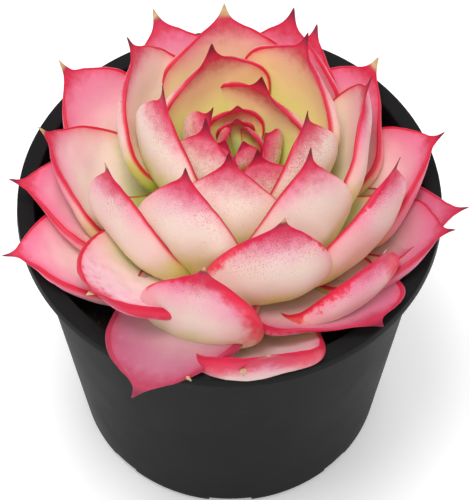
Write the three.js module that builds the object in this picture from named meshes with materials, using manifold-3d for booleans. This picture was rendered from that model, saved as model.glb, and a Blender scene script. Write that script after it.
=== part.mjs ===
// Potted succulent: a rosette of thick, pointed leaves on a short stem, growing in a
// nursery pot.  Millimetres, +Z up.  The origin is the centre of the pot's flat underside,
// on the plane that the pot stands on; the front is -Y.
import * as THREE from 'three';
import { mergeVertices } from 'three/addons/utils/BufferGeometryUtils.js';
import Module from 'manifold-3d';

const wasm = await Module();
wasm.setup();

// ---- driving sizes ----------------------------------------------------------------------
const clearance = 0.3;          // between pieces that touch
const potHeight = 96.5;
const rimRadius = 60;           // outside of the rolled rim
const baseRadius = 44.4;        // outside of the wall where it meets the floor
const wall = 1.6;
const rimWidth = 5.2;
const rimDepth = 3.8;           // height of the rim's turned-down lip
const rimFold = 2.0;            // depth of the groove between lip and wall, seen from below
const cornerRound = 0.5;
const drainCount = 8;
const drainWidth = 12.6;
const drainNarrow = 8.4;        // every other drain slot
const drainDepth = 9;           // inward from the wall
const drainHeight = 3;
const soilBelowRim = 12;
const soilLump = 1.1;
const leafSize = 1;             // grows every leaf: reach, rise, width and thickness
const stemX = 3;                // the plant stands a little off the pot's centre
const stemY = 3;
const stemRadius = 8;
const stemTop = 10.5;           // growing point, above the rim
const stemRoot = -24;           // end of the buried stem, below the rim
const firstLeaf = 9;            // height of the youngest leaf's foot, above the rim
const internode = 0.36;         // step down the stem from each leaf to the next older one
const lean = 0.4;               // the plant leans back by this much for every unit of height
const spineLength = 4.5;
const budSpine = 2;
const potRound = 40;            // facets around the pot

const colours = { pot: 0x2f3031, soil: 0x2a201b, stem: 0x8d9a5a, leaf: 0xe9a9a4, bud: 0xd8586c };

const degrees = Math.PI / 180;
const clamp01 = (v) => Math.min(1, Math.max(0, v));
const ease = (v) => Math.sin(clamp01(v) * Math.PI / 2);

// ---- solids ------------------------------------------------------------------------------
function solidOf(geometry) {
  geometry.deleteAttribute('normal');
  geometry.deleteAttribute('uv');
  const merged = mergeVertices(geometry, 1e-4);
  return new wasm.Manifold(new wasm.Mesh({
    numProp: 3,
    vertProperties: new Float32Array(merged.attributes.position.array),
    triVerts: new Uint32Array(merged.index.array),
  }));
}

function geometryOf(solid) {
  const mesh = solid.getMesh();
  const geometry = new THREE.BufferGeometry();
  const position = new THREE.BufferAttribute(new Float32Array(mesh.vertProperties), 3);
  geometry.setAttribute('position', position);
  geometry.setIndex(new THREE.BufferAttribute(new Uint32Array(mesh.triVerts), 1));
  geometry.computeVertexNormals();
  return geometry;
}

// A body swept through closed rings of equal count, closed by a fan at either end.
function ringBody(rings) {
  const count = rings[0].length;
  const points = rings.flat();
  const index = [];
  for (let i = 0; i + 1 < rings.length; i++) {
    for (let j = 0; j < count; j++) {
      const a = i * count + j;
      const b = i * count + (j + 1) % count;
      index.push(a, b, b + count, a, b + count, a + count);
    }
  }
  for (const [at, flip] of [[0, true], [rings.length - 1, false]]) {
    const centre = new THREE.Vector3();
    rings[at].forEach((p) => centre.addScaledVector(p, 1 / count));
    const hub = points.push(centre) - 1;
    for (let j = 0; j < count; j++) {
      const a = at * count + j;
      const b = at * count + (j + 1) % count;
      if (flip) {
        index.push(b, a, hub);
      } else {
        index.push(a, b, hub);
      }
    }
  }
  const geometry = new THREE.BufferGeometry().setFromPoints(points);
  geometry.setIndex(index);
  return solidOf(geometry);
}

function largestBody(solid) {
  const bodies = solid.decompose();
  return bodies.reduce((a, b) => (b.volume() > a.volume() ? b : a));
}

// ---- pot ---------------------------------------------------------------------------------
const rimInner = rimRadius - rimWidth;
const wallTop = rimInner + wall;              // outside of the wall, under the rim
const wallAt = (z) => baseRadius + (wallTop - baseRadius) * z / (potHeight - rimDepth);

function makePot() {
  const c = cornerRound;
  const lip = rimRadius - wall;
  const under = potHeight - rimDepth;
  const profile = [
    [0, 0],
    [baseRadius - 2, 0],
    [baseRadius - 0.6, 0.6],
    [wallAt(2), 2],
    [wallAt(under / 2), under / 2],
    [wallTop, potHeight - rimDepth + rimFold],
    [lip, potHeight - rimDepth + rimFold],
    [lip, under],
    [rimRadius, under],
    [rimRadius, potHeight - c],
    [rimRadius - c, potHeight],
    [rimInner + c, potHeight],
    [rimInner, potHeight - c],
    [rimInner, under],
    [wallAt(under / 2) - wall, under / 2],
    [wallAt(wall) - wall - 1, wall],
    [0, wall],
  ].map(([r, z]) => new THREE.Vector2(r, z));
  const turned = new THREE.LatheGeometry(profile, potRound);
  turned.rotateX(Math.PI / 2);
  let pot = solidOf(turned);
  for (let k = 0; k < drainCount; k++) {
    const across = k % 2 ? drainWidth : drainNarrow;
    const slot = new THREE.BoxGeometry(drainDepth + 4, across, 2 * drainHeight);
    slot.translate(baseRadius - drainDepth / 2 + 2, 0, 0);
    slot.rotateZ((k + 0.5) * 2 * Math.PI / drainCount + Math.PI / drainCount);
    pot = pot.subtract(solidOf(slot));
  }
  return pot;
}

// The pot's wall and rim with clearance all round, as a ring that leaves keep out of.
function makeRimRoom() {
  const low = potHeight - rimDepth - clearance;
  const profile = [
    [wallAt(potHeight / 3) - wall - clearance, potHeight / 3],
    [wallAt(potHeight / 3) + clearance, potHeight / 3],
    [wallTop + clearance, low],
    [rimRadius + clearance, low],
    [rimRadius + clearance, potHeight + clearance],
    [rimInner - clearance, potHeight + clearance],
    [rimInner - clearance, low],
  ];
  profile.push(profile[0]);
  const turned = new THREE.LatheGeometry(profile.map(([r, z]) => new THREE.Vector2(r, z)), potRound);
  turned.rotateX(Math.PI / 2);
  return solidOf(turned);
}

// ---- soil --------------------------------------------------------------------------------
const soilTop = potHeight - soilBelowRim;
const soilRadius = (z) => wallAt(z) - wall - clearance;

function lump(x, y) {
  const a = Math.sin(x * 0.31 + 1.7 * Math.sin(y * 0.13));
  const b = Math.cos(y * 0.37 + 1.3 * Math.sin(x * 0.17));
  return soilLump * a * b;
}

function makeSoil() {
  const floor = wall + clearance;
  const spots = 24;
  const ring = (r, z, rough) => Array.from({ length: spots }, (_, j) => {
    const a = j * 2 * Math.PI / spots;
    const p = new THREE.Vector3(r * Math.cos(a), r * Math.sin(a), z);
    p.z += rough * lump(p.x, p.y);
    return p;
  });
  // the facets of the soil stay inside the facets of the wall
  const chord = Math.cos(Math.PI / potRound);
  const rings = [
    ring(soilRadius(floor) * chord - 1.5, floor, 0),
    ring(soilRadius(soilTop / 2) * chord, soilTop / 2, 0),
    ring(soilRadius(soilTop - 2) * chord, soilTop - 2, 0.4),
  ];
  for (let k = 0; k < 4; k++) {
    rings.push(ring(soilRadius(soilTop) - 7.4 - 10.3 * k, soilTop + k / 2, 1));
  }
  return ringBody(rings);
}

// ---- stem --------------------------------------------------------------------------------
// radius of the stem at a height above the rim
const stemAt = (h) => stemRadius * (1 - 0.72 * clamp01((h + 4) / (stemTop + 3)) ** 1.3);

function makeStem(extra) {
  const profile = [new THREE.Vector2(0, stemRoot - extra)];
  profile.push(new THREE.Vector2(stemRadius * 0.45 + extra, stemRoot - extra));
  for (const h of [-16, -8, -2, 4, 9, stemTop - 1.5]) {
    profile.push(new THREE.Vector2(stemAt(h) + extra, h));
  }
  profile.push(new THREE.Vector2(0, stemTop + extra));
  const turned = new THREE.LatheGeometry(profile, 16);
  turned.rotateX(Math.PI / 2);
  turned.applyMatrix4(new THREE.Matrix4().set(1, 0, 0, 0, 0, 1, lean, 0, 0, 0, 1, 0, 0, 0, 0, 1));
  turned.translate(stemX, stemY, potHeight);
  return solidOf(turned);
}

// ---- leaves ------------------------------------------------------------------------------
// Every leaf follows one rule.  Its midrib is a bowed line from a foot on the stem to a tip
// given by a compass turn (0 is +X, 90 the back), a reach from the stem's axis and a rise
// above the rim.  Rows run from the youngest, at the heart, to the oldest, near the soil.
// turn, reach, rise, width, thickness, bow, bluntness and how far the tip bends sideways
const leafRows = [
  [300, 3, 15, 9, 3, 0.3, 1.9, 0],
  [40, 3, 15.5, 9, 3, 0.3, 1.9, 0],
  [160, 3, 16, 9, 3, 0.3, 1.9, 0],
  [100, 5, 16, 12, 4, 0.3, 1.9, 0],
  [225, 6, 16.5, 13, 4, 0.3, 1.9, 0],
  [340, 8, 18, 16, 4, 0.35, 1.9, 0],
  [95, 8, 17, 17, 5, 0.35, 1.9, 0],
  [196, 9, 23, 22, 6, 0.35, 1.9, 0],
  [242, 13.5, 26, 27, 7, 0.4, 1.9, 3],
  [290, 15, 21, 27, 8, 0.45, 1.9, 0],
  [263, 23.5, 28, 34, 9, 0.5, 2, 0],
  [56, 10.5, 22, 34, 7, 0.2, 1.9, 0],
  [320, 21, 29, 30, 7, 0.36, 1.9, -3],
  [119, 15.5, 27, 36, 8, 0.16, 1.9, 0],
  [270, 26, 17, 30, 8, 0.45, 1.9, 0],
  [210, 20.5, 31, 34, 8, 0.34, 1.9, 6],
  [41, 23, 29, 38, 9, 0.14, 1.9, 0],
  [299, 32.5, 32, 34, 9, 0.46, 2, -3],
  [245, 35, 31, 34, 9, 0.46, 2, 0],
  [156, 33, 28, 38, 9, 0.2, 1.9, 2],
  [358, 34.5, 27, 37, 9, 0.26, 1.9, -4],
  [277, 44.5, 28, 35, 9, 0.42, 3.6, -5],
  [222, 44, 29, 34, 9, 0.38, 1.9, 4],
  [97, 30.5, 25, 42, 9, 0.16, 1.9, 0],
  [319, 46.5, 28, 36, 9, 0.38, 1.9, -8],
  [254, 56, 25, 34, 9, 0.47, 4.2, -6],
  [180, 53.5, 16, 38, 8, 0.24, 1.9, 0],
  [61, 42.5, 13, 34, 8, 0.18, 1.9, 0],
  [307, 57.5, 20, 34, 8, 0.38, 2.4, -3],
  [234, 65.5, 17.5, 38, 8, 0.07, 2.6, 1],
  [122, 43.5, 18, 40, 8, 0.18, 1.9, 0],
  [2, 53.5, 13, 38, 8, 0.22, 1.9, 0],
  [274, 69, 13.5, 38, 9.5, 0.26, 3, -2],
  [186, 60.5, 8, 36, 6, 0.1, 1.9, 0],
  [67, 37, 20, 40, 8, 0.18, 1.9, 0],
  [335, 61.5, 10, 38, 7, 0.14, 1.9, 0],
  [256, 70, 2, 36, 5.5, -0.12, 4.5, 10],
  [152, 55, 13, 38, 6.5, 0.2, 2.4, 0],
  [36, 45.5, 12, 38, 6.5, 0.2, 2.2, 0],
  [294, 58.5, 5, 42, 5, 0.04, 4.5, -12],
  [206, 68.5, 8, 38, 6, 0.08, 1.7, 0],
  [344, 61.5, 8, 34, 5.5, 0.12, 1.9, 0],
];
const budCount = 7;

const stations = [0, 0.2, 0.42, 0.62, 0.8, 0.92, 1];
const turnIn = 0.8;             // how tightly a midrib bends towards its bow
const ogee = 3.2;               // softness of the shoulders below the spine
const fullest = 0.56;           // where along its length a leaf is widest
const footWidth = 0.34;         // width at the foot, as a part of the full width
const footThick = 0.4;
const edgeAt = 0.94;            // margin of the upper face, as a part of the half width

// Points around a leaf's section: across (u) and whether on the upper face.
function sectionPoints() {
  const dip = Math.acos(edgeAt);
  const lower = [];
  const steps = 4;
  for (let k = 0; k <= steps; k++) {
    const t = -dip + (Math.PI + 2 * dip) * k / steps;
    const s = Math.sin(t);
    lower.push({ u: Math.cos(t), v: s >= 0 ? -0.25 - 0.75 * s : -0.25 - 0.25 * s / Math.sin(dip) });
  }
  const upper = [-0.3, 0.3].map((u) => ({ u, v: 0, upper: true }));
  return lower.concat(upper);
}
const section = sectionPoints();

function midrib(row, foot) {
  const [, reach, rise, , , bow] = row;
  const tip = new THREE.Vector2(reach, rise).multiplyScalar(leafSize);
  const from = new THREE.Vector2(Math.max(0.6, stemAt(foot) - 1), foot);
  const chord = tip.clone().sub(from);
  const side = new THREE.Vector2(chord.y, -chord.x).multiplyScalar(bow);
  const mid = from.clone().add(tip).multiplyScalar(0.5).add(side);
  const leave = from.clone().lerp(mid, turnIn);
  return new THREE.CubicBezierCurve(from, leave, tip.clone().lerp(mid, turnIn), tip);
}

// The leaf with every surface moved out by extra.
function makeLeaf(row, order, extra) {
  const [turn, , , fullWidth, fullThick, , blunt, swerve] = row;
  const width = fullWidth * leafSize;
  const thick = fullThick * leafSize;
  const spine = order < budCount ? budSpine : spineLength;
  const curve = midrib(row, firstLeaf - order * internode);
  const length = curve.getLength();
  const out = new THREE.Vector3(Math.cos(turn * degrees), Math.sin(turn * degrees), 0);
  const right = new THREE.Vector3(out.y, -out.x, 0);
  const up = new THREE.Vector3(0, 0, 1);
  const ringAt = (s, past) => {
    const p = curve.getPointAt(Math.min(1, s));
    const t = curve.getTangentAt(Math.min(1, s));
    p.addScaledVector(t, past);
    const along = s * length + past;
    const left = length - along;
    const soft = (left + Math.hypot(left, ogee)) / 2;
    const full = footWidth + (1 - footWidth) * ease(s / fullest);
    const narrow = clamp01((left + spine) / (spine + 2)) ** 0.6;
    const toTip = (1 - clamp01((1 - soft / length - fullest) / (1 - fullest)) ** blunt) * narrow;
    const spike = 2.1 * clamp01((left + spine) / (9 + spine)) ** 1.15;
    const half = width / 2 * full * toTip + 0.1 + extra;
    const body = footThick + (1 - footThick) * ease(2 * s);
    const nose = past ? 0.02 : 1 - 0.98 * clamp01((s - 0.35) / 0.65) ** 3;
    const deep = Math.hypot(thick * body * nose, 0.75 * spike);
    const hollow = Math.min(0.22 * half * Math.sin(Math.min(1, s) * Math.PI) ** 0.7, 0.62 * deep);
    const normal = out.clone().multiplyScalar(-t.y).addScaledVector(up, t.x);
    const centre = out.clone().multiplyScalar(p.x).add(new THREE.Vector3(stemX, stemY, potHeight + p.y));
    centre.addScaledVector(right, swerve * leafSize * (along / length) ** 2);
    return section.map(({ u, v, upper }) => {
      const level = upper ? extra - hollow * (1 - (u / edgeAt) ** 2) : v * deep + (v > -0.01 ? extra : 0);
      const sunk = upper ? 0 : -extra * clamp01(-v / 0.25);
      const point = centre.clone().addScaledVector(right, u * half).addScaledVector(normal, level + sunk);
      point.y += lean * (point.z - potHeight);
      return point;
    });
  };
  const rings = stations.map((s) => ringAt(s, 0));
  rings.push(ringAt(1, spine * 0.45), ringAt(1, spine + extra));
  return ringBody(rings);
}

// ---- assembly ----------------------------------------------------------------------------
const plant = new THREE.Group();
const finish = (color, roughness) => new THREE.MeshStandardMaterial({ color, roughness, metalness: 0 });
const materials = {
  pot: finish(colours.pot, 0.5),
  soil: finish(colours.soil, 0.95),
  stem: finish(colours.stem, 0.7),
  leaf: finish(colours.leaf, 0.55),
  bud: finish(colours.bud, 0.55),
};

function place(name, solid, material) {
  const mesh = new THREE.Mesh(geometryOf(solid), material);
  mesh.name = name;
  plant.add(mesh);
}

const pot = makePot();
const stemRoom = makeStem(clearance);
place('pot', pot, materials.pot);
place('stem', makeStem(0), materials.stem);

// Leaves clear the stem and the rim, and older leaves give way to the younger ones that
// press on them from above.
let taken = stemRoom.add(makeRimRoom());
let leafRoom = null;
leafRows.forEach((row, order) => {
  const body = largestBody(makeLeaf(row, order, 0).subtract(taken));
  const room = makeLeaf(row, order, clearance);
  taken = taken.add(room);
  leafRoom = leafRoom ? leafRoom.add(room) : room;
  const young = order < budCount;
  const number = String(young ? order + 1 : order + 1 - budCount).padStart(2, '0');
  place(`${young ? 'bud' : 'leaf'}_${number}`, body, young ? materials.bud : materials.leaf);
});

// The lowest leaves press into the soil.
place('soil', largestBody(makeSoil().subtract(stemRoom).subtract(leafRoom)), materials.soil);

export default plant;
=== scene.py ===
# Potted succulent: the fine surfaces, materials, light and camera over the frame of solids.
# Lengths are in millimetres, and piece() scales them to metres once.
import math
from collections import namedtuple
import bmesh
import bpy
import numpy as np
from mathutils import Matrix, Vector, noise


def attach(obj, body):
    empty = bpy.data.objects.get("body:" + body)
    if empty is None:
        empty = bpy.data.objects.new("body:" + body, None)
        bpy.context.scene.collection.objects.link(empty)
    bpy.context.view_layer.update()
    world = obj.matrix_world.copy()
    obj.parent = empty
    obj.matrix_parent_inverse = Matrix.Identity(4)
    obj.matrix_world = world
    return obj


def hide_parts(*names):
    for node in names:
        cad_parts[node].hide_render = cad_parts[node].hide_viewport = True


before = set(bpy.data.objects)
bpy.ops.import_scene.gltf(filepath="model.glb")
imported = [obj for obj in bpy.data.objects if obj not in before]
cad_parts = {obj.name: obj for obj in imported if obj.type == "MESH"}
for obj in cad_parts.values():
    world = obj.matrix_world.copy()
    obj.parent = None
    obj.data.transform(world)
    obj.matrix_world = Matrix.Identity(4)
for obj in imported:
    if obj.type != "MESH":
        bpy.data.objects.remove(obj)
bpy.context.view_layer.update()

MM = 0.001

# pot: a tapered wall under a rolled rim
POT_HEIGHT = 96.5
RIM_RADIUS = 60.0
BASE_RADIUS = 44.4
RIM_WIDTH = 5.2
RIM_DEPTH = 3.8
RIM_FOLD = 2.0                      # hollow under the roll, between the wall and the lip
WALL = 1.6
RIM_INNER = RIM_RADIUS - RIM_WIDTH
WALL_TOP = RIM_INNER + WALL         # outside radius of the wall where it meets the rim

# drain slots at the foot, wide and narrow in turn
DRAINS = 8
DRAIN_WIDTH = 12.6
DRAIN_NARROW = 8.4
DRAIN_DEPTH = 9.0
DRAIN_HEIGHT = 3.0

# soil and stem, with heights on the stem counted from the rim
SOIL_TOP = POT_HEIGHT - 12.0
SOIL_GAP = 0.35                     # between the soil and the pot's wall
STEM = np.array([3.0, 3.0])
STEM_RADIUS = 8.0
STEM_TOP = 10.5
STEM_FOOT = -24.0

# rosette: leaves leave the stem one under the other, and the whole plant leans back
FIRST_LEAF = 9.0
INTERNODE = 0.36
SPINE = 4.5
BUD_SPINE = 2.0
BUDS = 7
LEAN = 0.4                          # towards the back, for each millimetre over the rim


# ---- small helpers ---------------------------------------------------------------------
def linear(r, g, b):
    """A screen colour, 0 to 255, as linear RGBA."""
    def one(v):
        v = v / 255
        return v / 12.92 if v <= 0.04045 else ((v + 0.055) / 1.055) ** 2.4
    return (one(r), one(g), one(b), 1.0)


def smooth(x, low, high):
    t = np.clip((x - low) / (high - low), 0, 1)
    return t * t * (3 - 2 * t)


def circle(count):
    """Angles of a full turn in equal steps."""
    return np.linspace(0, 2 * math.pi, count, endpoint=False)


class Net:
    """A material's node tree with short calls for the nodes it needs."""

    def __init__(self, name):
        self.material = bpy.data.materials.new(name)
        self.material.use_nodes = True
        self.tree = self.material.node_tree
        self.tree.nodes.clear()
        self.shader = self.tree.nodes.new("ShaderNodeBsdfPrincipled")
        output = self.tree.nodes.new("ShaderNodeOutputMaterial")
        self.tree.links.new(self.shader.outputs[0], output.inputs[0])

    def put(self, socket, value):
        if isinstance(value, bpy.types.NodeSocket):
            self.tree.links.new(value, socket)
        elif value is not None:
            socket.default_value = value

    def attribute(self, name):
        node = self.tree.nodes.new("ShaderNodeAttribute")
        node.attribute_name = name
        return node.outputs["Fac"]

    def math(self, operation, a, b=None, clamp=False):
        node = self.tree.nodes.new("ShaderNodeMath")
        node.operation = operation
        node.use_clamp = clamp
        self.put(node.inputs[0], a)
        self.put(node.inputs[1], b)
        return node.outputs[0]

    def add(self, a, b):
        return self.math("ADD", a, b)

    def minus(self, a, b):
        return self.math("SUBTRACT", a, b)

    def times(self, a, b, clamp=False):
        return self.math("MULTIPLY", a, b, clamp)

    def over(self, a, b):
        return self.math("DIVIDE", a, b)

    def fall(self, distance, rate):
        """1 at no distance, and falling off exponentially at this rate for each millimetre."""
        return self.math("POWER", 2.718, self.times(distance, -rate))

    def step(self, x, low, high, to_low=0.0, to_high=1.0):
        node = self.tree.nodes.new("ShaderNodeMapRange")
        node.interpolation_type = "SMOOTHSTEP"
        self.put(node.inputs["Value"], x)
        self.put(node.inputs["From Min"], low)
        self.put(node.inputs["From Max"], high)
        self.put(node.inputs["To Min"], to_low)
        self.put(node.inputs["To Max"], to_high)
        return node.outputs["Result"]

    def mix(self, factor, a, b):
        node = self.tree.nodes.new("ShaderNodeMix")
        node.data_type = "RGBA"
        self.put(node.inputs[0], factor)
        self.put(node.inputs[6], a)
        self.put(node.inputs[7], b)
        return node.outputs[2]

    def ramp(self, x, first, *others):
        """The first colour, blended into each of the others between its two stations."""
        colour = first
        for low, high, other in others:
            colour = self.mix(self.step(x, low, high), colour, other)
        return colour

    def noise(self, scale, detail=2.0, rough=0.5, distort=0.0):
        node = self.tree.nodes.new("ShaderNodeTexNoise")
        place = self.tree.nodes.new("ShaderNodeTexCoord")
        self.tree.links.new(place.outputs["Object"], node.inputs["Vector"])
        self.put(node.inputs["Scale"], scale)
        self.put(node.inputs["Detail"], detail)
        self.put(node.inputs["Roughness"], rough)
        self.put(node.inputs["Distortion"], distort)
        return node.outputs["Fac"]

    def bump(self, height, distance, strength=1.0, under=None):
        node = self.tree.nodes.new("ShaderNodeBump")
        self.put(node.inputs["Height"], height)
        self.put(node.inputs["Distance"], distance)
        self.put(node.inputs["Strength"], strength)
        self.put(node.inputs["Normal"], under)
        return node.outputs["Normal"]

    def finish(self, **sockets):
        for name, value in sockets.items():
            self.put(self.shader.inputs[name.replace("_", " ")], value)
        return self.material


def show(body):
    bpy.context.scene.collection.objects.link(body)


def piece(name, points, faces, material, values=None):
    """A smooth mesh object from millimetre points, with values for the material to read."""
    mesh = bpy.data.meshes.new(name)
    mesh.from_pydata((np.asarray(points) * MM).tolist(), [], faces)
    for key, column in (values or {}).items():
        layer = mesh.attributes.new(key, "FLOAT", "POINT")
        layer.data.foreach_set("value", np.asarray(column, dtype=np.float32))
    mesh.polygons.foreach_set("use_smooth", [True] * len(mesh.polygons))
    mesh.materials.append(material)
    mesh.update()
    body = bpy.data.objects.new(name, mesh)
    show(body)
    return body


def tube_faces(rows, count, start=0):
    """The side of a tube of this many rings, each of count points."""
    faces = []
    for i in range(rows - 1):
        for j in range(count):
            a = start + i * count + j
            b = start + i * count + (j + 1) % count
            faces.append((a, b, b + count, a + count))
    return faces


def flat_ends(rows, count):
    """One flat face over the first ring and one over the last."""
    last = (rows - 1) * count
    return [tuple(range(count))[::-1], tuple(last + j for j in range(count))]


def pointed_tube(rows, count, start=0):
    """A tube closed to two end points, which follow its rings in the list of points."""
    faces = tube_faces(rows, count, start)
    last = start + (rows - 1) * count
    point = start + rows * count
    for j in range(count):
        n = (j + 1) % count
        faces.append((start + n, start + j, point))
        faces.append((last + j, last + n, point + 1))
    return faces


# ---- materials -------------------------------------------------------------------------
# Colours along a leaf, from its foot: a first colour, then (from, to, next colour) in parts of
# the blade's length.
OUTER_FACE = (linear(150, 178, 46), (0.32, 0.62, linear(210, 218, 118)),
              (0.54, 0.78, linear(243, 226, 210)), (0.8, 1.05, linear(240, 182, 202)))
STRAW_FACE = (linear(158, 184, 62), (0.1, 0.45, linear(226, 222, 130)),
              (0.4, 0.85, linear(244, 202, 160)))
PALE_FACE = (linear(186, 200, 96), (0.3, 0.65, linear(255, 226, 216)),
             (0.6, 0.95, linear(252, 198, 212)))
FLUSH = linear(240, 122, 162)
FILM = linear(248, 214, 226)
HALO = linear(234, 4, 62)
MARGIN = linear(212, 0, 50)
TIP = linear(204, 4, 58)
# mauve of old leaves, darkened to serve also as painted shade on the low ones
MAUVE_SHADE_COLOUR = linear(136, 44, 80)
FRECKLE = linear(206, 14, 90)
SPINE_RED = linear(104, 8, 34)
DRIED_DARK = linear(150, 96, 60)
DRIED_PALE = linear(232, 200, 150)


def crimson(net, base, along, upper, edge, band, cloud, fine):
    """A halo along the margin, a ragged band on some leaves, and the thin line on the margin."""
    ripple = net.minus(fine, 0.5)
    halo = net.fall(net.add(edge, net.times(ripple, 2.0)), 0.8)
    halo = net.times(halo, 0.85, clamp=True)
    ragged = net.add(edge, net.times(ripple, 7.0))
    ragged = net.add(ragged, net.times(net.minus(cloud, 0.5), 9.0))
    wide = net.step(net.over(ragged, net.add(band, 0.01)), 0.3, 1.15, 1.0, 0.0)
    wide = net.times(wide, net.math("GREATER_THAN", band, 0.3))
    halo = net.times(net.math("MAXIMUM", halo, wide), net.step(along, 0.3, 0.75))
    base = net.mix(net.times(halo, 0.92), base, HALO)
    thin = net.times(net.step(along, 0.2, 0.9, 0.4, 1.0), net.minus(1.65, upper))
    line = net.step(net.over(edge, thin), 0.3, 1.1, 1.0, 0.0)
    line = net.times(line, net.step(along, 0.15, 0.5))
    return net.mix(net.times(line, 0.96), base, MARGIN)


def freckles(net, base, upper, tip, freckle, cloud):
    """Fine dots on the outer face, crowded near the tip."""
    near = net.step(net.add(tip, net.times(cloud, 14.0)), 6.0, 26.0, 1.0, 0.0)
    crowd = net.times(net.times(near, net.minus(1.0, upper)), freckle)
    level = net.minus(0.71, net.times(crowd, 0.24))
    spots = net.times(net.minus(net.noise(3000, 2, 0.6), level), 9.0, clamp=True)
    return net.mix(net.times(spots, 0.6), base, FRECKLE)


def leaf_material():
    net = Net("leaf_skin")
    along = net.attribute("along")
    upper = net.attribute("upper")
    edge = net.attribute("edge")
    tip = net.attribute("tip")
    crinkle = net.attribute("crinkle")
    cloud = net.noise(75, 3, 0.55)
    fine = net.noise(420, 3, 0.6)
    reach = net.add(along, net.times(net.minus(cloud, 0.5), 0.3))

    # green foot, then cream on the outer face and straw or pale pink on the upper one
    inner = net.mix(net.attribute("straw"), net.ramp(reach, *PALE_FACE), net.ramp(reach, *STRAW_FACE))
    base = net.mix(upper, net.ramp(reach, *OUTER_FACE), inner)

    # pink flush, further down the rosier leaves and from the margins inwards
    warm = net.add(reach, net.times(net.attribute("rosy"), 0.6))
    warm = net.add(warm, net.times(net.fall(edge, 0.16), net.times(along, 0.45)))
    base = net.mix(net.times(net.step(warm, 0.9, 1.6), 0.85), base, FLUSH)

    # papery lilac film on the creased faces
    film = net.step(net.add(fine, net.times(crinkle, 0.35)), 0.62, 0.9)
    film = net.times(film, net.times(crinkle, net.step(along, 0.5, 0.8)))
    base = net.mix(net.times(film, 0.75), base, FILM)

    # crimson margin and tip
    base = crimson(net, base, along, upper, edge, net.attribute("band"), cloud, fine)
    point = net.step(net.add(tip, net.times(fine, 5.0)), 1.5, 9.0, 1.0, 0.0)
    base = net.mix(net.times(point, 0.92), base, TIP)

    # the oldest leaves turn mauve, and on the low old leaves the same darkening is painted shade
    mauve_shade = net.times(net.attribute("mauve_shade"), net.step(reach, 0.0, 0.9, 0.6, 1.0))
    base = net.mix(mauve_shade, base, MAUVE_SHADE_COLOUR)
    base = freckles(net, base, upper, tip, net.attribute("freckle"), cloud)

    # the spine darkens, and some are dried to straw
    base = net.mix(net.step(tip, -3.5, -0.2, 1.0, 0.0), base, SPINE_RED)
    base = net.mix(net.attribute("dry"), base, net.mix(fine, DRIED_DARK, DRIED_PALE))

    skin = net.bump(net.noise(2600, 2, 0.5), 0.00005, 0.4)
    skin = net.bump(net.noise(260, 3, 0.5), 0.0004, 0.3, skin)
    rough = net.step(cloud, 0.2, 0.8, 0.38, 0.5)
    return net.finish(
        Base_Color=base, Roughness=rough, Normal=skin,
        Subsurface_Weight=0.22, Subsurface_Scale=0.003, Subsurface_Radius=(1.0, 0.5, 0.42),
        Coat_Weight=0.05, Coat_Roughness=0.35, Sheen_Weight=0.03, Sheen_Roughness=0.5, IOR=1.42)


def pot_material():
    net = Net("pot_plastic")
    grime = net.noise(35, 4, 0.6, 0.4)
    dust = net.step(net.noise(150, 5, 0.65), 0.56, 0.8, 0.0, 0.16)
    colour = net.mix(grime, linear(29, 29, 30), linear(36, 36, 37))
    colour = net.mix(dust, colour, linear(60, 58, 56))
    relief = net.bump(net.noise(1800, 2, 0.5), 0.00005, 0.4)
    rough = net.step(grime, 0.25, 0.8, 0.4, 0.5)
    return net.finish(Base_Color=colour, Roughness=rough, Normal=relief, Specular_IOR_Level=0.02)


def soil_material():
    """Dark peat, with bark chips where the tint is high and a few pale grains at its top end."""
    net = Net("potting_mix")
    tint = net.attribute("tint")
    colour = net.mix(net.noise(500, 5, 0.7), linear(16, 11, 9), linear(52, 38, 30))
    colour = net.mix(net.step(tint, 0.6, 0.9), colour, linear(110, 56, 34))
    colour = net.mix(net.step(tint, 0.95, 0.97), colour, linear(150, 132, 108))
    relief = net.bump(net.noise(900, 5, 0.7), 0.0008, 0.8)
    return net.finish(Base_Color=colour, Roughness=0.92, Normal=relief)


def stem_material():
    net = Net("stem_skin")
    colour = net.mix(net.noise(160, 3, 0.6), linear(120, 122, 62), linear(176, 178, 104))
    relief = net.bump(net.noise(400, 4, 0.6), 0.0004, 0.6)
    return net.finish(Base_Color=colour, Roughness=0.6, Normal=relief)


# ---- pot -------------------------------------------------------------------------------
SLOT_STEPS = 8                      # columns of the wall over each drain slot
PIER_STEPS = 16                     # columns between one slot and the next
SLOT_FROM, SLOT_TO = 2, 7           # rows of the outside and inside that a slot runs between


def wall_at(z):
    """The wall's outside radius at a height."""
    return BASE_RADIUS + (WALL_TOP - BASE_RADIUS) * z / (POT_HEIGHT - RIM_DEPTH)


def arc(r, z, radius, start, end, steps):
    """Points round a corner, from angle start to end in degrees."""
    angles = np.radians(np.linspace(start, end, steps))
    return [(r + radius * math.cos(a), z + radius * math.sin(a)) for a in angles]


def rim_path():
    """The rolled rim as (radius, height): up the wall, out under the roll, over the top and in."""
    under = POT_HEIGHT - RIM_DEPTH
    hollow = under + RIM_FOLD
    lip = RIM_RADIUS - WALL
    path = [(WALL_TOP - 0.2, under), (WALL_TOP, hollow - 0.4)]
    path += [(WALL_TOP + 0.4, hollow), (lip - 0.4, hollow)]
    path += [(lip, hollow - 0.4), (lip, under + 0.3), (lip + 0.3, under)]
    path += arc(RIM_RADIUS - 0.35, under + 0.35, 0.35, -80, 0, 4)
    path += [(RIM_RADIUS - 0.15, under + 1.9)]
    path += arc(RIM_RADIUS - 1.0, POT_HEIGHT - 0.9, 0.8, 0, 80, 6)
    path += [(RIM_RADIUS - 2.4, POT_HEIGHT - 0.02), (RIM_INNER + 1.6, POT_HEIGHT - 0.1)]
    path += arc(RIM_INNER + 0.7, POT_HEIGHT - 0.85, 0.7, 95, 180, 5)
    return path + [(RIM_INNER, under)]


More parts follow.
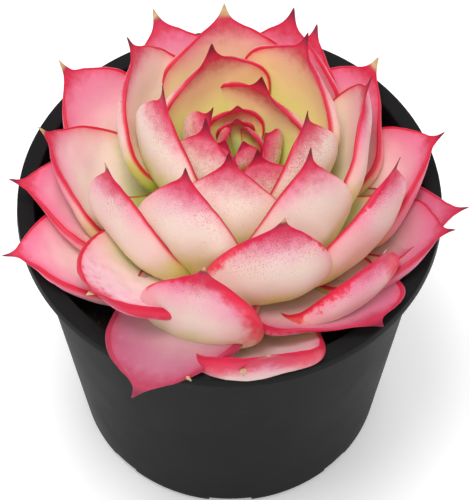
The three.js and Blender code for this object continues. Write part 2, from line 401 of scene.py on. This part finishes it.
def pot_paths():
    """The pot's outside and inside as (radius, height), from the floor's middle out and up."""
    slot_in = BASE_RADIUS - DRAIN_DEPTH
    outside = [(6, 0), (20, 0), (slot_in, 0), (BASE_RADIUS - 2.2, 0)]
    outside += [(BASE_RADIUS - 1.0, 0.25), (BASE_RADIUS - 0.25, 1.0), (wall_at(2.2), 2.2)]
    outside += [(wall_at(DRAIN_HEIGHT), DRAIN_HEIGHT)]
    inside = [(6, WALL), (20, WALL), (slot_in, WALL), (BASE_RADIUS - 4.5, WALL)]
    inside += [(BASE_RADIUS - 3.2, WALL + 0.1), (BASE_RADIUS - 2.4, WALL + 0.45)]
    inside += [(wall_at(2.4) - WALL - 0.05, 2.4), (wall_at(DRAIN_HEIGHT) - WALL, DRAIN_HEIGHT)]
    for z in np.linspace(DRAIN_HEIGHT + 1.5, POT_HEIGHT - RIM_DEPTH - 3, 16):
        outside.append((wall_at(z), z))
        inside.append((wall_at(z) - WALL, z))
    return outside, inside


def drain_turns():
    """Angles of the wall's columns, which line up with the sides of the drain slots."""
    slots = []
    for k in range(DRAINS + 1):
        width = DRAIN_NARROW if k % 2 else DRAIN_WIDTH
        half = math.degrees(math.asin(width / 2 / BASE_RADIUS))
        slots.append((k * 360 / DRAINS - half, k * 360 / DRAINS + half))
    turns = []
    for (start, end), (after, _) in zip(slots, slots[1:]):
        turns += list(np.linspace(start, end, SLOT_STEPS + 1)[:-1])
        turns += list(np.linspace(end, after, PIER_STEPS + 1)[:-1])
    return np.radians(turns)


def slot_walls(in_slot, last):
    """Faces through the wall round every drain slot. Row i inside is row last - i."""
    count = len(in_slot)
    faces = []

    def at(i, j):
        return i * count + j % count

    for j in range(count):
        if not in_slot[j]:
            continue
        low, high = last - SLOT_FROM, last - SLOT_TO
        faces.append((at(SLOT_FROM, j), at(SLOT_FROM, j + 1), at(low, j + 1), at(low, j)))
        faces.append((at(high, j), at(high, j + 1), at(SLOT_TO, j + 1), at(SLOT_TO, j)))
        for i in range(SLOT_FROM, SLOT_TO):
            if not in_slot[j - 1]:
                faces.append((at(i, j), at(last - i, j), at(last - i - 1, j), at(i + 1, j)))
            if not in_slot[(j + 1) % count]:
                k = j + 1
                faces.append((at(i, k), at(i + 1, k), at(last - i - 1, k), at(last - i, k)))
    return faces


def pot_piece(material):
    outside, inside = pot_paths()
    rows = outside + rim_path() + inside[::-1]
    turns = drain_turns()
    count = len(turns)
    in_slot = [j % (SLOT_STEPS + PIER_STEPS) < SLOT_STEPS for j in range(count)]
    points = [(r * math.cos(a), r * math.sin(a), z) for r, z in rows for a in turns]
    last = len(rows) - 1
    faces = []
    for k, face in enumerate(tube_faces(len(rows), count)):
        i, j = divmod(k, count)
        if not (in_slot[j] and SLOT_FROM <= min(i, last - 1 - i) < SLOT_TO):
            faces.append(face)
    faces += slot_walls(in_slot, last) + flat_ends(len(rows), count)
    pot = piece("nursery_pot", points, faces, material)
    work = bmesh.new()
    work.from_mesh(pot.data)
    bmesh.ops.recalc_face_normals(work, faces=work.faces)
    work.to_mesh(pot.data)
    work.free()
    round_edges = pot.modifiers.new("edges", "BEVEL")
    round_edges.width = 0.35 * MM
    round_edges.segments = 2
    round_edges.limit_method = "ANGLE"
    round_edges.angle_limit = math.radians(50)
    return pot


# ---- soil ------------------------------------------------------------------------------
SOIL_COUNT = 160                    # points round every ring
SOIL_RINGS = 44
CRUMBS = 1500
CRUMB_CORNERS = [(1, 0, 0), (-1, 0, 0), (0, 1, 0), (0, -1, 0), (0, 0, 1), (0, 0, -1)]
CRUMB_FACES = [(0, 2, 4), (2, 1, 4), (1, 3, 4), (3, 0, 4), (2, 0, 5), (1, 2, 5), (3, 1, 5), (0, 3, 5)]


def soil_height(x, y):
    swell = noise.noise(Vector((x * 0.045, y * 0.045, 3.1)))
    lumps = noise.noise(Vector((x * 0.16, y * 0.16, 7.7)))
    grit = noise.noise(Vector((x * 0.5, y * 0.5, 1.3)))
    return SOIL_TOP + 1.3 * swell + 1.1 * lumps + 0.5 * grit


def soil_piece(material):
    """A body that fills the pot, uneven on top, with loose crumbs and chips lying in it."""
    turns = circle(SOIL_COUNT)
    points = []
    floor, waist = WALL + 0.3, 40
    for r, z in ((wall_at(floor) - WALL - 2, floor), (wall_at(waist) - WALL - SOIL_GAP, waist)):
        points += [(r * math.cos(a), r * math.sin(a), z) for a in turns]
    edge = wall_at(SOIL_TOP) - WALL - SOIL_GAP
    rings = np.concatenate([[edge], np.linspace(edge - 0.8, 4, SOIL_RINGS)])
    for k, r in enumerate(rings):
        drop = 0.8 if k == 0 else 0
        for a in turns:
            x, y = r * math.cos(a), r * math.sin(a)
            points.append((x, y, soil_height(x, y) - drop))
    rows = 2 + len(rings)
    faces = tube_faces(rows, SOIL_COUNT) + flat_ends(rows, SOIL_COUNT)
    tint = [0.3] * len(points)
    rng = np.random.default_rng(11)
    for _ in range(CRUMBS):
        r = edge * math.sqrt(rng.uniform(0.12, 0.96))
        a = rng.uniform(0, 2 * math.pi)
        size = 0.35 + 1.1 * rng.random() ** 3
        x, y = r * math.cos(a), r * math.sin(a)
        add_crumb(points, faces, tint, (x, y, soil_height(x, y)), size, rng)
    return piece("potting_soil", points, faces, material, {"tint": tint})


def add_crumb(points, faces, tint, centre, size, rng):
    """An angular crumb or bark chip, as a closed lump of six corners, turned at random."""
    axes, _ = np.linalg.qr(rng.normal(size=(3, 3)))
    reach = size * np.array([1.0, rng.uniform(0.5, 0.9), rng.uniform(0.3, 0.8)])
    base = len(points)
    corners = np.array(CRUMB_CORNERS, dtype=float) * rng.uniform(0.8, 1.2, (6, 1))
    points += [tuple(c) for c in (corners * reach) @ axes.T + np.array(centre)]
    mirrored = np.linalg.det(axes) <= 0
    for a, b, c in CRUMB_FACES:
        a, c = (c, a) if mirrored else (a, c)
        faces.append((base + a, base + b, base + c))
    tint += [float(rng.random())] * len(CRUMB_CORNERS)


# ---- stem ------------------------------------------------------------------------------
STEM_ROWS = 60
STEM_COUNT = 48                     # points round every row


def stem_at(h):
    """The stem's radius at a height over the rim."""
    return STEM_RADIUS * (1 - 0.72 * np.clip((h + 4) / (STEM_TOP + 3), 0, 1) ** 1.3)


def stem_piece(material):
    """The stem, with a narrow root end in the soil, a domed top and a slightly knobbly skin."""
    heights = np.linspace(STEM_FOOT, STEM_TOP - 0.6, STEM_ROWS)
    turns = [2 * math.pi * k / STEM_COUNT for k in range(STEM_COUNT)]
    points = []
    for h in heights:
        root = 0.45 + 0.55 * smooth(h, STEM_FOOT, STEM_FOOT + 10)
        radius = float(stem_at(h)) * root * min(1, math.sqrt(max(0.02, (STEM_TOP - h) / 3)))
        for a in turns:
            knob = noise.noise(Vector((math.cos(a) * 2, math.sin(a) * 2, h * 0.35)))
            r = radius * (1 + 0.06 * knob) - 0.2
            y = STEM[1] + LEAN * h + r * math.sin(a)
            points.append((STEM[0] + r * math.cos(a), y, POT_HEIGHT + h))
    faces = tube_faces(len(heights), len(turns)) + flat_ends(len(heights), len(turns))
    return piece("main_stem", points, faces, material)


# ---- leaves ----------------------------------------------------------------------------
# The solid leaves have the same rows, youngest first. turn: direction round the stem in degrees.
# reach and rise: the tip from the stem's axis and over the rim. bow: how much the midrib arches.
# blunt: how full the blade stays towards its tip. swerve: how far the tip bends to the side.
Leaf = namedtuple("Leaf", "turn reach rise width thick bow blunt swerve")
LEAVES = [Leaf(*row) for row in (
    (300, 3, 15, 9, 3, 0.3, 1.9, 0),
    (40, 3, 15.5, 9, 3, 0.3, 1.9, 0),
    (160, 3, 16, 9, 3, 0.3, 1.9, 0),
    (100, 5, 16, 12, 4, 0.3, 1.9, 0),
    (225, 6, 16.5, 13, 4, 0.3, 1.9, 0),
    (340, 8, 18, 16, 4, 0.35, 1.9, 0),
    (95, 8, 17, 17, 5, 0.35, 1.9, 0),
    (196, 9, 23, 22, 6, 0.35, 1.9, 0),
    (242, 13.5, 26, 27, 7, 0.4, 1.9, 3),
    (290, 15, 21, 27, 8, 0.45, 1.9, 0),
    (263, 23.5, 28, 34, 9, 0.5, 2, 0),
    (56, 10.5, 22, 34, 7, 0.2, 1.9, 0),
    (320, 21, 29, 30, 7, 0.36, 1.9, -3),
    (119, 15.5, 27, 36, 8, 0.16, 1.9, 0),
    (270, 26, 17, 30, 8, 0.45, 1.9, 0),
    (210, 20.5, 31, 34, 8, 0.34, 1.9, 6),
    (41, 23, 29, 38, 9, 0.14, 1.9, 0),
    (299, 32.5, 32, 34, 9, 0.46, 2, -3),
    (245, 35, 31, 34, 9, 0.46, 2, 0),
    (156, 33, 28, 38, 9, 0.2, 1.9, 2),
    (358, 34.5, 27, 37, 9, 0.26, 1.9, -4),
    (277, 44.5, 28, 35, 9, 0.42, 3.6, -5),
    (222, 44, 29, 34, 9, 0.38, 1.9, 4),
    (97, 30.5, 25, 42, 9, 0.16, 1.9, 0),
    (319, 46.5, 28, 36, 9, 0.38, 1.9, -8),
    (254, 56, 25, 34, 9, 0.47, 4.2, -6),
    (180, 53.5, 16, 38, 8, 0.24, 1.9, 0),
    (61, 42.5, 13, 34, 8, 0.18, 1.9, 0),
    (307, 57.5, 20, 34, 8, 0.38, 2.4, -3),
    (234, 65.5, 17.5, 38, 8, 0.07, 2.6, 1),
    (122, 43.5, 18, 40, 8, 0.18, 1.9, 0),
    (2, 53.5, 13, 38, 8, 0.22, 1.9, 0),
    (274, 69, 13.5, 38, 9.5, 0.26, 3, -2),
    (186, 60.5, 8, 36, 6, 0.1, 1.9, 0),
    (67, 37, 20, 40, 8, 0.18, 1.9, 0),
    (335, 61.5, 10, 38, 7, 0.14, 1.9, 0),
    (256, 70, 2, 36, 5.5, -0.12, 4.5, 10),
    (152, 55, 13, 38, 6.5, 0.2, 2.4, 0),
    (36, 45.5, 12, 38, 6.5, 0.2, 2.2, 0),
    (294, 58.5, 5, 42, 5, 0.04, 4.5, -12),
    (206, 68.5, 8, 38, 6, 0.08, 1.7, 0),
    (344, 61.5, 8, 34, 5.5, 0.12, 1.9, 0),
)]
FULLEST = 0.56                      # part of the blade's length where it is widest
TURN = 0.8                          # how tightly the midrib rounds its bend
OGEE = 3.2                          # length over which the shoulders sweep into the spine
FOOT_WIDTH = 0.34
FOOT_THICK = 0.4
EDGE_AT = 0.94                      # where the upper face meets the margin's roll, in half widths
BLADE_ROWS = 52
SPINE_ROWS = 12
CURVE_STEPS = 400                   # for measuring along the midrib
SPINE_ROOT = 9                      # length of the spine's root inside the blade
SPIKE = 2.1                         # how thick that root starts
LEAST_HALF = 0.1                    # half the width of the spine's very point
INNER_LEAVES = 11                   # leaves up to this number are straw-coloured inside
OLD_SPINE = 1.2                     # length over which a dried spine fades into the living skin

# What is special on single leaves, by leaf number.
# crimson band on the outer face: width, and how far it leans to one margin
BANDS = {15: (3.2, 0.3), 18: (2.0, -0.4), 19: (5.5, -0.7), 22: (5.5, -0.6), 23: (6.0, -0.5),
         26: (9.0, -0.2), 30: (3.0, 0.0), 33: (1.5, 0.0)}
# mauve tint that is partly painted shade, extra freckles, wrinkles on the upper face, and straw
# colour inside
MAUVE_SHADE_BY_LEAF = {23: 0.1, 26: 0.2, 29: 0.3, 30: 0.6, 33: 0.35, 35: 0.35}
FRECKLED = {15: 0.5, 16: 0.3, 22: 0.3}
CREASED = {23: 1.0, 26: 0.9, 30: 0.35}
STRAW = {5: 0.9, 13: 0.25, 14: 0.2, 17: 0.8, 28: 0.3}
# length of the dried end of the spine
DRY = {15: 0.9, 16: 0.9, 17: 2.6, 19: 0.8, 20: 1.8, 22: 0.9, 23: 1.4, 24: 1.6, 26: 0.9,
       31: 1.6, 32: 2.4}
# scraps of old flower stalk: row along the leaf, point round it, and length
HUSKS = {26: (42, 11, 5.5), 30: (44, 30, 3.0)}
HUSK_RINGS = 6
HUSK_COUNT = 6


def section():
    """Across (u), level (v) and face (1 on the upper one) round a leaf, tight at the margins."""
    dip = math.acos(EDGE_AT)
    t = np.concatenate([np.linspace(-dip, 0.5, 9), np.linspace(0.5, math.pi - 0.5, 19)[1:-1],
                        np.linspace(math.pi - 0.5, math.pi + dip, 9)])
    s = np.sin(t)
    u = np.cos(t)
    v = np.where(s >= 0, -0.25 - 0.75 * s, -0.25 - 0.25 * s / math.sin(dip))
    w = np.linspace(-1, 1, 25)[1:-1]
    w = np.sign(w) * (1 - (1 - np.abs(w)) ** 1.25)
    face = np.concatenate([0 * u, 0 * w + 1])
    return np.concatenate([u, w * EDGE_AT]), np.concatenate([v, 0 * w]), face


def midrib(leaf, foot, s):
    """Places and headings at parts s of a cubic curve from the stem to the tip, and its length."""
    a = np.array([max(0.6, float(stem_at(foot)) - 1), foot])
    c = np.array([leaf.reach, leaf.rise], dtype=float)
    chord = c - a
    b = (a + c) / 2 + np.array([chord[1], -chord[0]]) * leaf.bow
    p, q = a + TURN * (b - a), c + TURN * (b - c)

    def curve(t):
        return (1 - t) ** 3 * a + 3 * t * (1 - t) ** 2 * p + 3 * t ** 2 * (1 - t) * q + t ** 3 * c

    t = np.linspace(0, 1, CURVE_STEPS)[:, None]
    steps = np.linalg.norm(np.diff(curve(t), axis=0), axis=1)
    run = np.concatenate([[0], np.cumsum(steps)])
    t = np.interp(np.clip(s, 0, 1) * run[-1], run, t[:, 0])[:, None]
    heading = (1 - t) ** 2 * (p - a) + 2 * t * (1 - t) * (q - p) + t ** 2 * (c - q)
    return curve(t), heading / np.linalg.norm(heading, axis=1)[:, None], run[-1]


def leaf_profile(leaf, spine, s, run, length):
    """Half the width, the depth under the margins and the upper face's hollow, row by row."""
    full = FOOT_WIDTH + (1 - FOOT_WIDTH) * np.sin(np.clip(s / FULLEST, 0, 1) * math.pi / 2)
    left = length + spine - run
    soft = 0.5 * (length - run + np.sqrt((length - run) ** 2 + OGEE ** 2))
    to_tip = 1 - np.clip((1 - soft / length - FULLEST) / (1 - FULLEST), 0, 1) ** leaf.blunt
    to_tip = to_tip * np.clip(left / (spine + 2), 0, 1) ** 0.6
    half = leaf.width / 2 * full * to_tip + LEAST_HALF
    body = FOOT_THICK + (1 - FOOT_THICK) * np.sin(np.clip(2 * s, 0, 1) * math.pi / 2)
    nose = np.where(run > length, 0.02, 1 - 0.98 * np.clip((s - 0.35) / 0.65, 0, 1) ** 3)
    spike = SPIKE * np.clip(left / (SPINE_ROOT + spine), 0, 1) ** 1.15
    deep = np.hypot(leaf.thick * body * nose, 0.75 * spike)
    hollow = np.minimum(0.22 * half * np.maximum(np.sin(s * math.pi), 0) ** 0.7, 0.62 * deep)
    return half, deep, hollow


def leaf_points(leaf, order):
    """The leaf's rings of points, with what its marks and creases are worked out from."""
    spine = BUD_SPINE if order < BUDS else SPINE
    blade = 1 - (1 - np.linspace(0, 1, BLADE_ROWS)) ** 1.35
    place, heading, length = midrib(leaf, FIRST_LEAF - order * INTERNODE, blade)
    past = np.linspace(0, spine, SPINE_ROWS)[1:]
    place = np.vstack([place, place[-1] + past[:, None] * heading[-1]])
    heading = np.vstack([heading, np.repeat(heading[-1:], len(past), 0)])
    s = np.concatenate([blade, np.ones(len(past))])
    run = np.concatenate([blade * length, length + past])
    half, deep, hollow = leaf_profile(leaf, spine, s, run, length)
    u, v, face = section()
    a = math.radians(leaf.turn)
    out = np.array([math.cos(a), math.sin(a), 0])
    right = np.array([math.sin(a), -math.cos(a), 0])
    up = np.array([0, 0, 1.0])
    centre = place[:, :1] * out + place[:, 1:] * up + np.array([STEM[0], STEM[1], POT_HEIGHT])
    centre = centre + (leaf.swerve * (run / length) ** 2)[:, None] * right
    normal = -heading[:, 1:] * out + heading[:, :1] * up
    level = np.where(face > 0, -hollow[:, None] * (1 - (u / EDGE_AT) ** 2), v * deep[:, None])
    across = (u * half[:, None])[..., None] * right
    grid = centre[:, None, :] + across + level[..., None] * normal[:, None, :]
    grid[..., 1] += LEAN * (grid[..., 2] - POT_HEIGHT)
    return grid, s, run, length, u, v, face, half, deep


def rough_up(grid, order):
    """Small unevenness, so that no two leaves and no two sides are alike."""
    flat = grid.reshape(-1, 3)
    seed = order * 7.31

    def field(scale, shift):
        places = flat * scale + np.array([seed, shift, 0])
        return np.array([noise.noise(Vector(place)) for place in places.tolist()])

    wave = np.stack([field(0.07, 0.0), field(0.07, 31.7), field(0.07, 67.3)], 1)
    ripple = field(0.3, 0.0)
    return (flat + 1.1 * wave + 0.12 * ripple[:, None]).reshape(grid.shape)


def crease(grid, s, u, face, half, amount, order):
    """Raises fine crossing wrinkles and a fold along the midrib on the upper face."""
    result = grid.copy()
    inside = face * (1 - (np.abs(u) / EDGE_AT) ** 2)
    for i in range(len(s)):
        reach = float(smooth(s[i], 0.4, 0.7) * (1 - smooth(s[i], 0.93, 1.0)))
        for j in np.nonzero(inside > 0)[0]:
            x = u[j] * half[i]
            place = Vector((x * 0.35 + order, s[i] * 9 + 0.3 * abs(x), 4.2))
            fold = 1 - abs(noise.noise(place)) * 4
            small = 1 - abs(noise.noise(place * 2.6)) * 4
            rise = 0.55 * max(0.0, fold) ** 2 + 0.25 * max(0.0, small) ** 2
            rise += 0.8 * math.exp(-(x / 1.6) ** 2)
            result[i, j, 2] += amount * reach * inside[j] * rise
    return result


def margin_distance(u, v, face, half, deep):
    """How far round the section every point lies from the nearer margin, in millimetres."""
    result = np.zeros((len(half), len(u)))
    under = int((face == 0).sum())
    for i in range(len(half)):
        x, y = u * half[i], v * deep[i]
        steps = np.hypot(np.diff(x[:under]), np.diff(y[:under]))
        run = np.concatenate([[0], np.cumsum(steps)])
        result[i, :under] = np.minimum(run, run[-1] - run)
        result[i, under:] = (EDGE_AT - np.abs(u[under:])) * half[i]
    return result


def rosiness(leaf, order):
    """Old leaves are pinker, and so are those towards the back on the right."""
    age = order / len(LEAVES)
    back = 0.5 + 0.5 * math.sin(math.radians(leaf.turn + 40))
    return 0.6 * float(smooth(np.float64(age), 0.42, 0.75)) + 0.15 * back * (age > 0.3)


def husk(start, length, order):
    """A dried scrap as a thin closed curl of rings, and an end point at each end."""
    across, over = np.array([1, 0, 0]), np.array([0, 0.7, 0.7])
    rings = []
    for t in np.linspace(0, 1, HUSK_RINGS):
        curl = order + 2.2 * t
        way = np.array([0.4 * t * math.sin(curl), -0.45 * t, 0.5 * math.sin(2.4 * t)])
        radius = 0.6 * (1 - 0.5 * t)
        for a in circle(HUSK_COUNT):
            ring = radius * (across * math.cos(a) + over * math.sin(a))
            rings.append(start + length * way + ring)
    rings = np.array(rings)
    return np.vstack([rings, rings[:HUSK_COUNT].mean(0), rings[-HUSK_COUNT:].mean(0)])


def leaf_piece(order, material):
    leaf = LEAVES[order]
    number = order + 1 - BUDS       # the buds have no number over 0
    grid, s, run, length, u, v, face, half, deep = leaf_points(leaf, order)
    grid = rough_up(grid, order)
    if number in CREASED:
        grid = crease(grid, s, u, face, half, CREASED[number], order)
    rows, count = grid.shape[:2]
    whole = np.ones((rows, count))
    rng = np.random.default_rng(100 + order)
    width, tilt = BANDS.get(number, (0.0, 0.0))
    dried = length + SPINE - DRY.get(number, 0.0)
    values = {
        "along": s[:, None] * whole,
        "upper": face * whole,
        "edge": margin_distance(u, v, face, half, deep),
        "tip": (length - run)[:, None] * whole,
        "rosy": (rosiness(leaf, order) + rng.uniform(-0.06, 0.06)) * whole,
        "band": width * (1 + tilt * u) * (1 - face) * whole,
        "dry": smooth(run, dried - OLD_SPINE, dried)[:, None] * whole * (number in DRY),
        "crinkle": CREASED.get(number, 0.0) * face * whole,
        "mauve_shade": MAUVE_SHADE_BY_LEAF.get(number, 0.0) * whole,
        "straw": STRAW.get(number, float(number <= INNER_LEAVES)) * whole,
        "freckle": (rng.uniform(0.5, 1.0) + FRECKLED.get(number, 0.0)) * whole,
    }
    points = np.vstack([grid.reshape(-1, 3), grid[0].mean(0), grid[-1].mean(0)])
    marks = {k: np.concatenate([x.reshape(-1), [x[0].mean(), x[-1].mean()]])
             for k, x in values.items()}
    faces = pointed_tube(rows, count)
    if number in HUSKS:
        station, place, size = HUSKS[number]
        scrap = husk(grid[station, place], size, order)
        faces += pointed_tube(HUSK_RINGS, HUSK_COUNT, len(points))
        points = np.vstack([points, scrap])
        marks = {k: np.concatenate([x, np.full(len(scrap), float(k == "dry"))])
                 for k, x in marks.items()}
    name = f"bud_{order + 1:02d}" if order < BUDS else f"leaf_{number:02d}"
    return name, piece(f"{name}_skin", points, faces, material, marks)


# ---- assembly --------------------------------------------------------------------------
leaf_skin = leaf_material()
pot = pot_piece(pot_material())
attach(pot, "root")
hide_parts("pot")
soil = soil_piece(soil_material())
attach(soil, "root")
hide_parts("soil")
stem = stem_piece(stem_material())
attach(stem, "root")
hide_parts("stem")
for order in range(len(LEAVES)):
    node, leaf = leaf_piece(order, leaf_skin)
    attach(leaf, "root")
    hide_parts(node)


# ---- studio, in metres -----------------------------------------------------------------
FLOOR_HALF = 4
GLOW_LEVEL, GLOW_ABOVE = 0.3, 0.95  # the surroundings' light from the horizon and from above
AIM = (0, 0, 0.08)                  # where the lamps point: the middle of the plant


def studio():
    net = Net("pale_floor")
    floor_skin = net.finish(Base_Color=linear(250, 250, 250), Roughness=0.9,
                            Emission_Strength=0.22, Emission_Color=(1, 1, 1, 1))
    mesh = bpy.data.meshes.new("floor")
    corners = [(x * FLOOR_HALF, y * FLOOR_HALF, 0) for x, y in ((-1, -1), (1, -1), (1, 1), (-1, 1))]
    mesh.from_pydata(corners, [], [(0, 1, 2, 3)])
    mesh.materials.append(floor_skin)
    floor = bpy.data.objects.new("floor", mesh)
    show(floor)
    surroundings()
    lamp("key", (-0.2, -0.1, 1.5), 0.6, 9)
    lamp("fill", (0.1, -1.2, 0.7), 0.4, 1.2)
    lamp("back", (0.1, 1.0, 1.0), 0.8, 2)


def surroundings():
    """White light all round, dimmer towards the horizon."""
    world = bpy.data.worlds.new("studio")
    world.use_nodes = True
    tree = world.node_tree
    way = tree.nodes.new("ShaderNodeTexCoord")
    parts = tree.nodes.new("ShaderNodeSeparateXYZ")
    glow = tree.nodes.new("ShaderNodeMapRange")
    backdrop = tree.nodes["Background"]
    tree.links.new(way.outputs["Generated"], parts.inputs[0])
    tree.links.new(parts.outputs["Z"], glow.inputs["Value"])
    tree.links.new(glow.outputs["Result"], backdrop.inputs["Strength"])
    glow.inputs["To Min"].default_value = GLOW_LEVEL
    glow.inputs["To Max"].default_value = GLOW_ABOVE
    backdrop.inputs["Color"].default_value = (1, 1, 1, 1)
    bpy.context.scene.world = world


def turned_to(body, way):
    """Points a lamp or a camera along a direction."""
    body.rotation_euler = way.to_track_quat("-Z", "Y").to_euler()
    show(body)


def lamp(name, place, size, power):
    light = bpy.data.lights.new(name, "AREA")
    light.shape = "DISK"
    light.size = size
    light.energy = power
    body = bpy.data.objects.new(name, light)
    body.location = place
    turned_to(body, Vector(AIM) - Vector(place))


def camera():
    """Looks down on the front at 55 degrees, from 84 cm, and a little below the rim's middle."""
    steep = math.radians(55.4)
    distance = 0.840
    aside, down = 0.00178, 0.01731  # slopes of the view off the rim's middle
    back = Vector((0, -math.cos(steep), math.sin(steep)))
    up = Vector((0, math.sin(steep), math.cos(steep)))
    right = Vector((1, 0, 0))
    lens = bpy.data.cameras.new("camera")
    lens.lens = 215.0
    lens.sensor_width = 36
    lens.clip_start = 0.05
    eye = bpy.data.objects.new("camera", lens)
    eye.location = Vector((0, 0, POT_HEIGHT * MM)) + back * distance
    turned_to(eye, -back + right * aside - up * down)
    bpy.context.scene.camera = eye


studio()
camera()
bpy.context.scene.view_settings.view_transform = "Standard"
